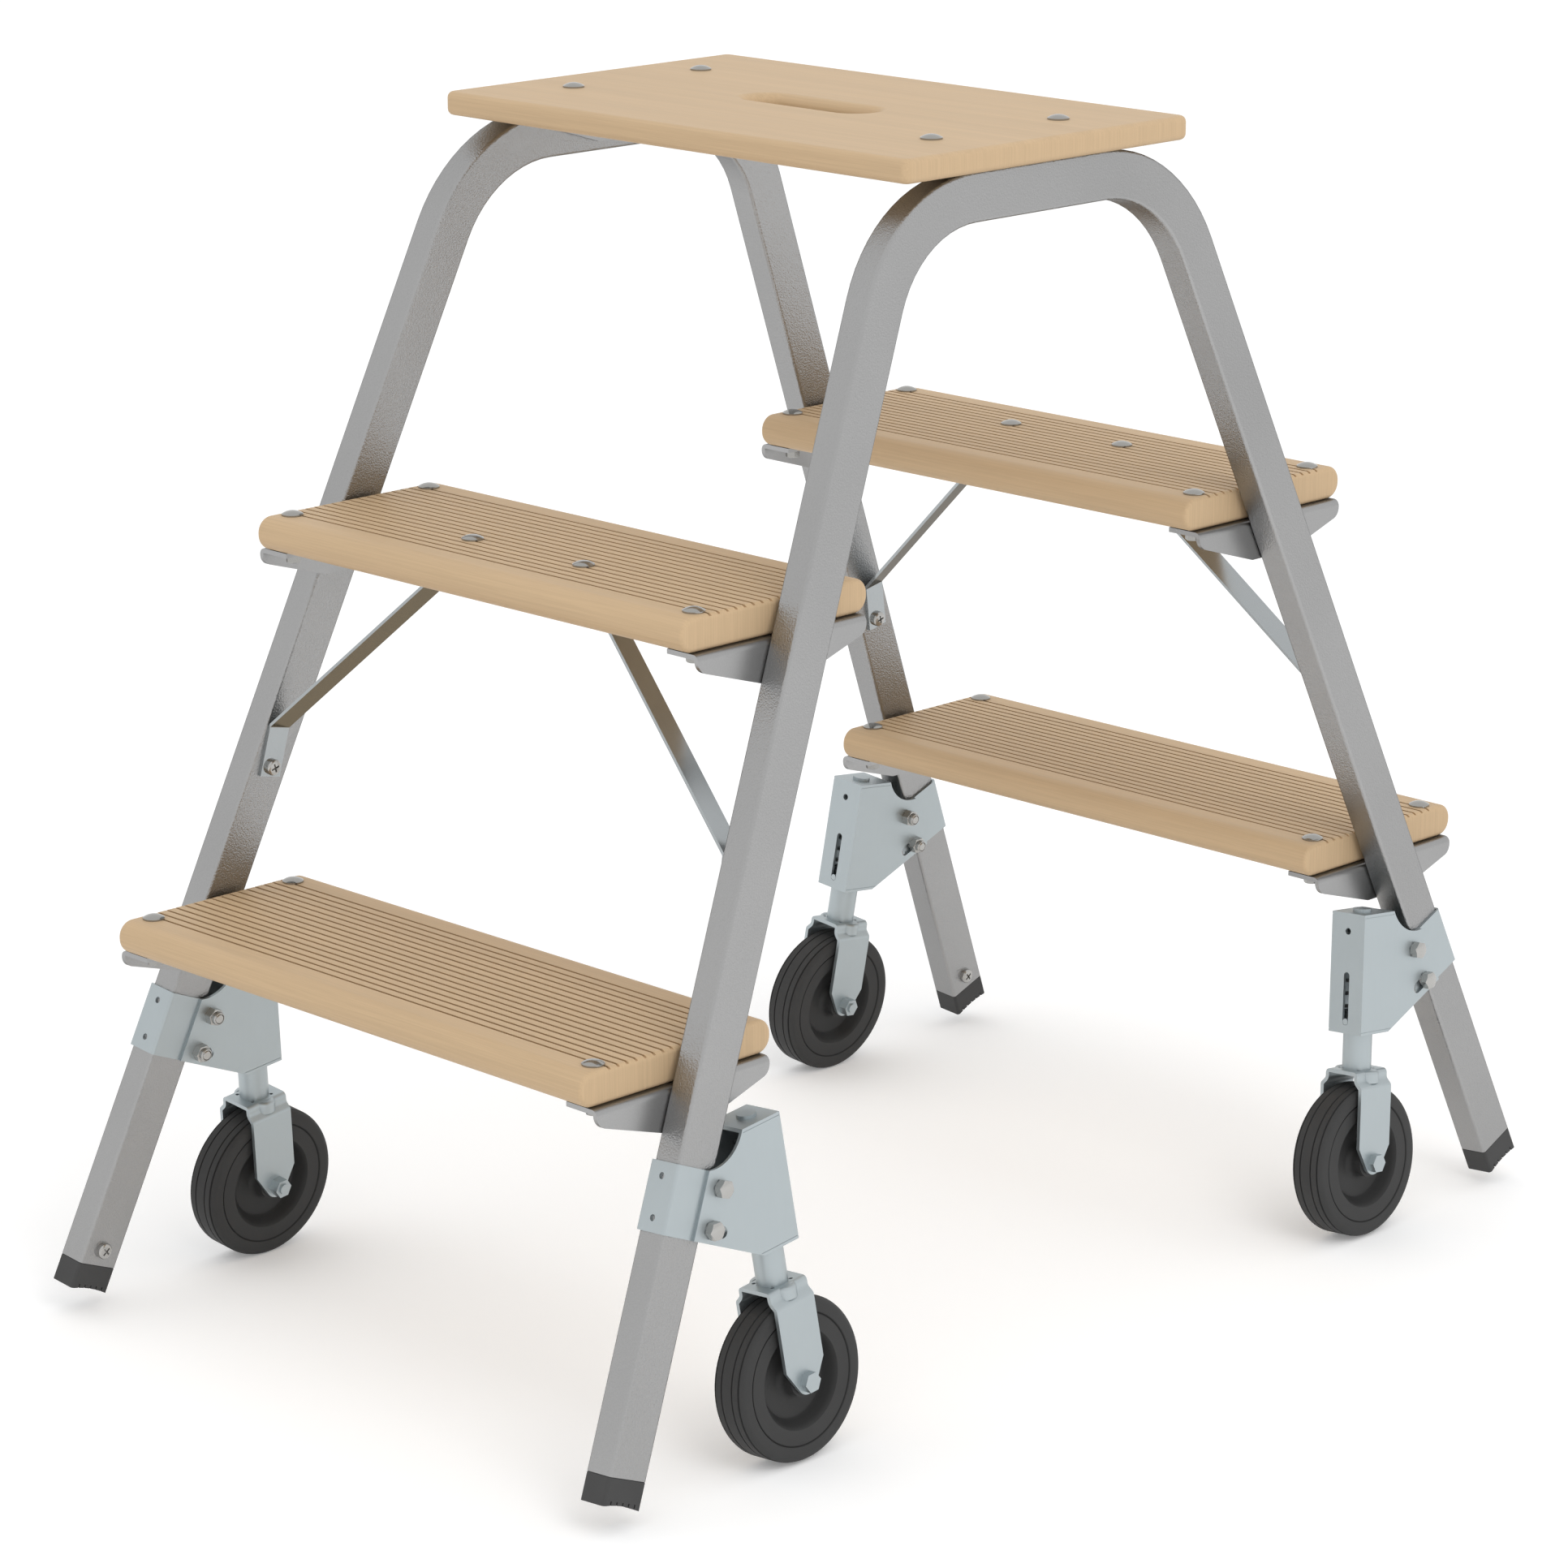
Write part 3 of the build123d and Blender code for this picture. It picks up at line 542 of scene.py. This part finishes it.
class StepStage(bpy.types.PropertyGroup):
    """Camera, floor and light."""

    camera_place: place_setting("Camera", "Where the camera stands", (2.2278, -2.2692, 1.20306))
    camera_yaw: angle_setting("Yaw", "Turn to the left of +Y", radians(44.772))
    camera_pitch: angle_setting("Pitch", "Tilt below level", radians(15.673))
    lens: FloatProperty(name="Lens", description="Focal length in millimetres", default=118.53)
    floor_size: length_setting("Floor size", "Side of the floor", 120.0)
    floor_colour: colour_setting("Floor", "Pale floor", (0.95, 0.95, 0.95))
    floor_glow: FloatProperty(name="Floor glow", description="Whitens the floor that is seen", default=0.16)
    sky_strength: FloatProperty(name="Sky", description="Even light from all round", default=0.95)
    key_place: place_setting("Key place", "Where the key light hangs", (3.5, -1.0, 3.5))
    key_aim: place_setting("Key aim", "What the key light points at", (0.0, 0.0, 0.4))
    key_size: length_setting("Key size", "Side of the key light", 2.5)
    key_power: FloatProperty(name="Key", description="Power of the key light in watts", default=40.0)


class STEP_OT_finish_boards(bpy.types.Operator):
    """Give the platform and the treads their wood finish, with painted shade in the hand slot and in the
    grooves
    """

    bl_idname = "step.finish_boards"
    bl_label = "Finish Boards"

    slot_shade_half: FloatVectorProperty(
        name="Hand slot", description="Half size of the dark hand slot", size=2, default=(0.060, 0.021)
    )
    groove_field: length_setting("Groove field", "Middle of a tread to the last groove's edge", 0.0545)
    groove_depth: length_setting("Groove depth", "Depth of a tread's grooves", 0.0014)
    end_radius: length_setting("End radius", "Rounding of a tread's end", 0.003)

    def execute(self, context):
        wood = context.scene.step_finishes.wood_colour
        low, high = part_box("platform_board")
        half_height = (high.z - low.z) / 2
        # Painted shade in the lower part of the hand slot, fading out towards the top face
        slot_shade_middle = (0.0, 0.0, low.z + half_height * 0.5)
        slot_shade_size = (self.slot_shade_half[0], self.slot_shade_half[1], half_height * 0.6)
        platform_wood = plywood("beech_platform", wood, slot_shade_middle, slot_shade_size, half_height * 0.5)
        paint(["platform_board"], platform_wood)
        half_depth = self.groove_depth / 2
        for level in LEVELS:
            treads = [f"{level}_tread_{end}" for end in ENDS]
            low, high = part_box(treads[-1])
            # Painted shade down in the grooves of the tread's top, short of its rounded ends
            groove_shade_middle = (0.0, (low.y + high.y) / 2, high.z - half_depth * 1.25)
            groove_shade_size = (high.x - self.end_radius, self.groove_field, half_depth)
            tread_wood = plywood(f"beech_{level}_tread", wood, groove_shade_middle, groove_shade_size, half_depth * 0.25)
            paint(treads, tread_wood)
        return {"FINISHED"}


class STEP_OT_finish_frames(bpy.types.Operator):
    """Give the tube frames and the brackets their metal finish"""

    bl_idname = "step.finish_frames"
    bl_label = "Finish Frames"

    def execute(self, context):
        colour = context.scene.step_finishes.frame_colour
        brackets = [name for name in frame["nodes"] if "bracket" in name]
        paint(nodes_named("frame_tube"), pearled_metal("pearled_tube", colour, relief=0.42))
        paint(brackets, pearled_metal("smooth_bracket", colour, relief=0.06))
        return {"FINISHED"}


class STEP_OT_finish_castors(bpy.types.Operator):
    """Give the castors' sheet metal, axles, braces, rims and feet their finishes"""

    bl_idname = "step.finish_castors"
    bl_label = "Finish Castors"

    recess_shade_radius: length_setting("Recess", "Middle of the rim's dark recess wall", 0.027)
    recess_shade_half_width: length_setting("Recess width", "Half the width of that dark ring", 0.0042)

    def execute(self, context):
        finishes = context.scene.step_finishes
        zinc = zinc_plate("zinc_sheet", finishes.zinc_colour, roughness=0.42)
        paint(nodes_named("castor_", "leg_clamp", "wheel_axle"), zinc)
        # The straps carry a painted reflection of the wood on their undersides
        strap = brace_strap("brace_steel", finishes.brace_colour, finishes.brace_reflection_colour)
        paint(nodes_named("brace"), strap)
        # The rim's dark joint line with the tyre, and painted shade on the recess wall where the dish falls
        # dark
        creases = (RIM_JOINT, Crease(self.recess_shade_radius, self.recess_shade_half_width, depth=0.6))
        rim = moulded("rim_plastic", finishes.rim_colour, roughness=0.5, creases=creases)
        paint(nodes_named("wheel_rim"), rim)
        cap = moulded("cap_plastic", finishes.cap_colour, roughness=0.55)
        paint(nodes_named("foot_cap"), cap)
        return {"FINISHED"}


class STEP_OT_make_board_bolts(bpy.types.Operator):
    """Coach bolts through each board, with a nut under its bracket or brace"""

    bl_idname = "step.make_board_bolts"
    bl_label = "Make Board Bolts"

    bolt_pitch: length_setting("Pitch", "Between a bracket's bolts", 0.112)
    flange_margin: length_setting("Margin", "Bolt to the flange's free edge", 0.0088)
    platform_margin: length_setting("Platform margin", "The same, under the platform", 0.008)
    flange: length_setting("Flange", "Thickness of a bracket", 0.003)
    brace_bolt: FloatVectorProperty(
        name="Brace bolt", description="Place of a brace's bolt", size=2, default=(0.049, 0.2413)
    )

    def bracket_bolts(self, board):
        """Where a board's bolts go through its two brackets."""
        parts = board.split("_")
        spots = []
        for side_name, side in SIDES.items():
            if parts[0] == "platform":
                low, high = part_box(f"platform_bracket_{side_name}")
                margin = self.platform_margin
            else:
                low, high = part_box(f"{parts[0]}_tread_bracket_{side_name}_{parts[2]}")
                margin = self.flange_margin
            inner_edge = low.x if side > 0 else high.x
            for shift in (-self.bolt_pitch / 2, self.bolt_pitch / 2):
                spots.append((inner_edge + side * margin, (low.y + high.y) / 2 + shift))
        return spots

    def brace_bolts(self, board):
        """Where a middle tread's bolts go through its two braces."""
        if not board.startswith("mid"):
            return []
        x, y = self.brace_bolt
        end = ENDS[board.split("_")[2]]
        return [(side * x, end * y) for side in SIDES.values()]

    def execute(self, context):
        hardware = context.scene.step_hardware
        steel = zinc_plate("coach_steel", context.scene.step_finishes.coach_colour, roughness=0.14)
        head = make_coach_head(hardware.coach_head, hardware.coach_dome)
        nut = make_board_nut(hardware)
        for board in BOARDS:
            low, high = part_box(board)
            spots = [(x, y, self.flange) for x, y in self.bracket_bolts(board)]
            spots += [(x, y, BRACE_THICKNESS) for x, y in self.brace_bolts(board)]
            pieces = []
            for x, y, clamped in spots:
                pieces.append(set_at(head, (x, y, high.z), (0, 0, 1)))
                pieces.append(set_at(nut, (x, y, low.z - clamped), (0, 0, -1)))
            settle(join(pieces, f"bolts_{board}"), FIXED_BODY, steel)
        discard(head, nut)
        return {"FINISHED"}


def make_coach_head(diameter, height):
    """Domed bolt head with an upright rim."""
    radius = diameter / 2
    rim = height * 0.32
    rise = height - rim
    dome = (radius * radius + rise * rise) / (2 * rise)
    edge = degrees(atan2(dome - rise, radius))
    profile = [(0.0, 0.0), (radius, 0.0)] + arc((0.0, height - dome), dome, edge, 90.0, 8)
    profile[-1] = (0.0, height)
    return turned("coach_head", profile, 40)


def make_board_nut(hardware):
    """Hex nut with the bolt's end standing out of it."""
    height = hardware.board_nut_height
    nut = hexagon("nut", hardware.board_nut, height)
    top = height + hardware.board_bolt_end
    radius = hardware.board_bolt / 2
    edge = radius * 0.16
    end = [(0.0, height * 0.5), (radius, height * 0.5), (radius, top - edge)]
    end += [(radius - edge, top), (0.0, top)]
    return join([nut, turned("bolt_end", end, 24)], "nut_with_end")


class STEP_OT_make_screws(bpy.types.Operator):
    """Cross-head screws that hold each brace's tab and each foot cap to its leg"""

    bl_idname = "step.make_screws"
    bl_label = "Make Screws"

    brace_drop: length_setting("Brace screw", "Down the frame", 0.412)
    brace_turn: angle_setting("Brace turn", "Turn of the brace screw's cross", 0.3)
    foot_along: length_setting("Foot screw", "Down the leg", 0.7707)
    foot_turn: angle_setting("Foot turn", "Turn of the foot screw's cross", 0.7)

    def execute(self, context):
        steel = steel_finish(context.scene.step_finishes)
        screw = make_pan_screw(context.scene.step_hardware.screw_head)
        brace_across = LEG_ROOT + self.brace_drop * tan(LEG_SLANT)
        tab_face = -TUBE_HALF_WIDTH - BRACE_THICKNESS
        for corner in CORNERS:
            brace_spot = corner.frame_point(brace_across, self.brace_drop, tab_face)
            foot_spot = corner.leg_point(self.foot_along, 0.0, -TUBE_HALF_WIDTH)
            pieces = [
                set_at(screw, brace_spot, -corner.outward, self.brace_turn),
                set_at(screw, foot_spot, -corner.outward, self.foot_turn),
            ]
            settle(join(pieces, f"screws_{corner.name}"), FIXED_BODY, steel)
        discard(screw)
        return {"FINISHED"}


def make_pan_screw(diameter):
    """Pan head with a cross recess."""
    radius = diameter / 2
    height = diameter * 0.33
    edge = height * 0.55
    profile = [(0.0, 0.0), (radius, 0.0), (radius, height - edge)]
    profile += arc((radius - edge, height - edge), edge, 0.0, 65.0, 5)[1:]
    profile += [(radius * 0.3, height), (0.0, height + edge * 0.0175)]
    screw = turned("pan_screw", profile, 40)
    blade_size = (diameter * 0.56, diameter * 0.11, height * 1.1)
    for turn in (0.0, pi / 2):
        bpy.ops.object.select_all(action="DESELECT")
        bpy.ops.mesh.primitive_cube_add(size=1.0, location=(0, 0, height))
        blade = start_piece("recess_tool")
        bpy.ops.transform.resize(value=blade_size, center_override=(0, 0, height))
        bpy.ops.object.mode_set(mode="OBJECT")
        blade.rotation_euler.z = turn
        bpy.context.view_layer.update()
        combine(screw, blade, "DIFFERENCE")
    return screw


class STEP_OT_make_clamp_bolts(bpy.types.Operator):
    """Two bolts through each castor housing and its clamp, heads outside and lock nuts inside"""

    bl_idname = "step.make_clamp_bolts"
    bl_label = "Make Clamp Bolts"

    offset: length_setting("Offset", "Leg's middle to the bolts", 0.0192)
    upper_along: length_setting("Upper bolt", "Down the leg", 0.6088)
    upper_turn: angle_setting("Upper turn", "Turn of the upper bolt's hexagons", 0.2)
    lower_along: length_setting("Lower bolt", "Down the leg", 0.6332)
    lower_turn: angle_setting("Lower turn", "Turn of the lower bolt's hexagons", 0.55)

    def execute(self, context):
        steel = steel_finish(context.scene.step_finishes)
        hardware = context.scene.step_hardware
        head = make_bolt_head(hardware.clamp_flats, hardware.clamp_head_height)
        nut = make_lock_nut(hardware.clamp_flats, hardware.clamp_nut_height, hardware.clamp_collar)
        bolts = ((self.upper_along, self.upper_turn), (self.lower_along, self.lower_turn))
        for corner in CORNERS:
            pieces = []
            for along, turn in bolts:
                outer = corner.leg_point(along, -self.offset, HOUSING_HALF_WIDTH)
                inner = corner.leg_point(along, -self.offset, -HOUSING_HALF_WIDTH)
                pieces.append(set_at(head, outer, corner.outward, turn))
                pieces.append(set_at(nut, inner, -corner.outward, turn))
            settle(join(pieces, f"clamp_bolts_{corner.name}"), FIXED_BODY, steel)
        discard(head, nut)
        return {"FINISHED"}


def make_bolt_head(flats, height):
    """Hex head on its thin round bearing face."""
    bearing = 0.0006
    overlap = bearing * 1.5
    radius = flats * 0.48
    head = hexagon("bolt_head", flats, height)
    head.data.transform(Matrix.Translation((0, 0, bearing)))
    face = turned("bearing_face", [(0.0, 0.0), (radius, 0.0), (radius, overlap), (0.0, overlap)], 32)
    return join([head, face], "bolt_head")


def make_lock_nut(flats, height, collar):
    """Hex nut with a round locking collar and the bolt's end inside it."""
    nut = hexagon("lock_nut", flats, height)
    top = height + collar
    radius = flats * 0.43
    edge = collar * 0.35
    bolt_radius = flats * 0.3
    bore = bolt_radius * 1.12
    ring_floor = top - 0.0012
    bolt_shoulder = top - 0.0002
    bolt_top = top + 0.0003
    profile = [(0.0, height * 0.5), (radius, height * 0.5), (radius, top - edge)]
    profile += arc((radius - edge, top - edge), edge, 0.0, 90.0, 4)[1:]
    profile += [(bore, top), (bore, ring_floor), (bolt_radius, ring_floor)]
    profile += [(bolt_radius, bolt_shoulder), (bolt_radius * 0.86, bolt_top), (0.0, bolt_top)]
    return join([nut, turned("collar", profile, 36)], "lock_nut")


class STEP_OT_make_springs(bpy.types.Operator):
    """A coil spring around each post's upper end, seen through the housing's slot"""

    bl_idname = "step.make_springs"
    bl_label = "Make Springs"

    bottom: length_setting("Bottom", "Up the post", 0.1000)
    top: length_setting("Top", "Up the post", 0.1612)
    coil_radius: length_setting("Coil", "Post's axis to the wire's middle", 0.0088)
    steps: IntProperty(name="Steps", description="Sections of one coil", default=28, min=8)

    def execute(self, context):
        steel = steel_finish(context.scene.step_finishes)
        spring = self.make_spring(context.scene.step_hardware)
        for corner in CORNERS:
            piece = set_at(spring, corner.post_point(self.bottom), corner.post_up)
            piece.name = f"spring_{corner.name}"
            settle(piece, FIXED_BODY, steel)
        discard(spring)
        return {"FINISHED"}

    def make_spring(self, hardware):
        """One spring on the floor, wound about Z, with its wire's ends closed."""
        wire = hardware.spring_wire / 2
        bpy.ops.object.select_all(action="DESELECT")
        bpy.ops.mesh.primitive_circle_add(vertices=10, radius=wire, rotation=(pi / 2, 0, 0))
        spring = start_piece("spring")
        bpy.ops.transform.translate(value=(self.coil_radius, 0, wire))
        bpy.ops.object.mode_set(mode="OBJECT")
        bpy.ops.object.transform_apply(location=True, rotation=True, scale=True)
        bpy.ops.object.modifier_add(type="SCREW")
        screw = spring.modifiers[-1]
        screw.screw_offset = (self.top - self.bottom - 2 * wire) / hardware.spring_turns
        screw.iterations = hardware.spring_turns
        screw.steps = self.steps
        screw.render_steps = self.steps
        bpy.ops.object.modifier_apply(modifier=screw.name)
        bpy.ops.object.mode_set(mode="EDIT")
        bpy.ops.mesh.select_all(action="DESELECT")
        bpy.ops.mesh.select_non_manifold()
        bpy.ops.mesh.fill()
        close_mesh()
        return spring


class STEP_OT_make_tyres(bpy.types.Operator):
    """Tyres with grooves around the tread, in place of the plain ones"""

    bl_idname = "step.make_tyres"
    bl_label = "Make Tyres"

    radius: length_setting("Radius", "Axle to the tread", 0.050)
    bore: length_setting("Bore", "Radius on the rim", RIM_RADIUS)
    half_width: length_setting("Half width", "Half the tyre's width", 0.01225)
    shoulder: length_setting("Shoulder", "Radius of the tread's edge", 0.0042)
    bead: length_setting("Bead", "Chamfer at the rim", 0.0009)
    depth: length_setting("Depth", "Depth of a groove", 0.0011)
    inner_groove: length_setting("Inner grooves", "From the middle of the tread", 0.00425)
    outer_groove: length_setting("Outer grooves", "From the middle of the tread", 0.0094)

    def tread_radius(self, place):
        """Radius of the tread at a place across the tyre."""
        over = max(0.0, abs(place) - (self.half_width - self.shoulder))
        return self.radius - self.shoulder + sqrt(max(0.0, self.shoulder ** 2 - over ** 2))

    def crown(self, half_groove):
        """The tread's outline from one side to the other, with its grooves."""
        grooves = [-self.outer_groove, -self.inner_groove, self.inner_groove, self.outer_groove]
        bend = self.half_width - self.shoulder
        places = [bend + self.shoulder * sin(radians(angle)) for angle in (0, 18, 36, 54, 72, 90)]
        places = [-place for place in places[::-1]] + places
        points = [
            (self.tread_radius(place), place)
            for place in places
            if all(abs(place - groove) > half_groove for groove in grooves)
        ]
        for groove in grooves:
            floor = self.tread_radius(groove) - self.depth
            for shift in (-1.0, -0.6, 0.6, 1.0):
                place = groove + shift * half_groove
                points.append((floor if abs(shift) < 1 else self.tread_radius(place), place))
        return sorted(points, key=lambda point: point[1])

    def execute(self, context):
        colour = context.scene.step_finishes.tyre_colour
        rubber = moulded("tyre_rubber", colour, roughness=0.6, creases=(RIM_JOINT,))
        inside = self.half_width - self.bead
        outer_bead = self.bore + self.bead
        profile = [(self.bore, -inside), (outer_bead, -self.half_width)]
        profile += self.crown(context.scene.step_hardware.tyre_groove / 2)
        profile += [(outer_bead, self.half_width), (self.bore, inside), (self.bore, -inside)]
        pattern = turned("tyre_pattern", profile, 96)
        for corner in CORNERS:
            tyre = set_at(pattern, corner.wheel_centre, corner.outward)
            tyre.name = f"grooved_tyre_{corner.name}"
            settle(tyre, corner.wheel_body, rubber)
            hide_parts(f"tyre_{corner.name}")
        discard(pattern)
        return {"FINISHED"}


class STEP_OT_set_stage(bpy.types.Operator):
    """Camera, pale floor and soft studio light"""

    bl_idname = "step.set_stage"
    bl_label = "Set Stage"

    def execute(self, context):
        stage = context.scene.step_stage
        context.scene.view_settings.view_transform = "Standard"
        self.add_camera(context, stage)
        self.add_floor(context, stage)
        self.add_key_light(context, stage)
        self.light_sky(context.scene, stage)
        return {"FINISHED"}

    def add_camera(self, context, stage):
        """A camera at the photograph's angle."""
        bpy.ops.object.select_all(action="DESELECT")
        bpy.ops.object.camera_add(location=stage.camera_place)
        camera = context.active_object
        camera.rotation_euler = (pi / 2 - stage.camera_pitch, 0.0, stage.camera_yaw)
        camera.data.lens = stage.lens
        camera.data.sensor_width = 36.0
        camera.data.clip_end = 200.0
        context.scene.camera = camera

    def add_floor(self, context, stage):
        """A pale floor that keeps the shadow, a little lighter where it is seen."""
        bpy.ops.object.select_all(action="DESELECT")
        bpy.ops.mesh.primitive_plane_add(size=stage.floor_size)
        floor = context.active_object
        floor.name = "floor"
        finish = Finish("pale_floor")
        pale = finish.cover(
            Base_Color=opaque(stage.floor_colour),
            Roughness=1.0,
            Specular_IOR_Level=0.0,
            Emission_Color=finish.blend(finish.seen(), BLACK, WHITE),
            Emission_Strength=stage.floor_glow,
        )
        floor.data.materials.append(pale)

    def add_key_light(self, context, stage):
        """A large soft light from the right."""
        bpy.ops.object.light_add(type="AREA", location=stage.key_place)
        key = context.active_object
        key.data.energy = stage.key_power
        key.data.size = stage.key_size
        key.visible_glossy = False
        aim = Vector(stage.key_aim) - Vector(stage.key_place)
        key.rotation_euler = aim.to_track_quat("-Z", "Y").to_euler()

    def light_sky(self, scene, stage):
        """Even white sky: white where it is seen or mirrored, softer where it lights."""
        scene.world = bpy.data.worlds.new("studio_sky")
        sky = Nodes(scene.world)
        lighting = sky.add("ShaderNodeBackground", {}, {"Color": WHITE, "Strength": stage.sky_strength})
        backdrop = sky.add("ShaderNodeBackground", {}, {"Color": WHITE, "Strength": 1.0})
        shown = sky.add("ShaderNodeMixShader", {}, {0: sky.seen(), 1: lighting, 2: backdrop})
        sky.add("ShaderNodeOutputWorld", {}, {"Surface": shown})


OPERATORS = (
    STEP_OT_finish_boards,
    STEP_OT_finish_frames,
    STEP_OT_finish_castors,
    STEP_OT_make_board_bolts,
    STEP_OT_make_screws,
    STEP_OT_make_clamp_bolts,
    STEP_OT_make_springs,
    STEP_OT_make_tyres,
    STEP_OT_set_stage,
)


class STEP_PT_platform(bpy.types.Panel):
    """Finishes and hardware of the step platform"""

    bl_label = "Step Platform"
    bl_space_type = "VIEW_3D"
    bl_region_type = "UI"
    bl_category = "Step Platform"

    def draw(self, context):
        column = self.layout.column()
        for group in (context.scene.step_finishes, context.scene.step_hardware, context.scene.step_stage):
            for name in group.__annotations__:
                column.prop(group, name)
        for operator in OPERATORS:
            column.operator(operator.bl_idname)


GROUPS = {"step_finishes": StepFinishes, "step_hardware": StepHardware, "step_stage": StepStage}
CLASSES = tuple(GROUPS.values()) + OPERATORS + (STEP_PT_platform,)


def register():
    """Add the classes and their settings to the scene."""
    for cls in CLASSES:
        bpy.utils.register_class(cls)
    for name, group in GROUPS.items():
        setattr(bpy.types.Scene, name, PointerProperty(type=group))


def unregister():
    """Remove the settings and the classes."""
    for name in GROUPS:
        delattr(bpy.types.Scene, name)
    for cls in reversed(CLASSES):
        bpy.utils.unregister_class(cls)


def main():
    """Register the add-on and build the looks around the frame."""
    register()
    for operator in OPERATORS:
        group, name = operator.bl_idname.split(".")
        getattr(getattr(bpy.ops, group), name)()


if __name__ == "__main__":
    main()
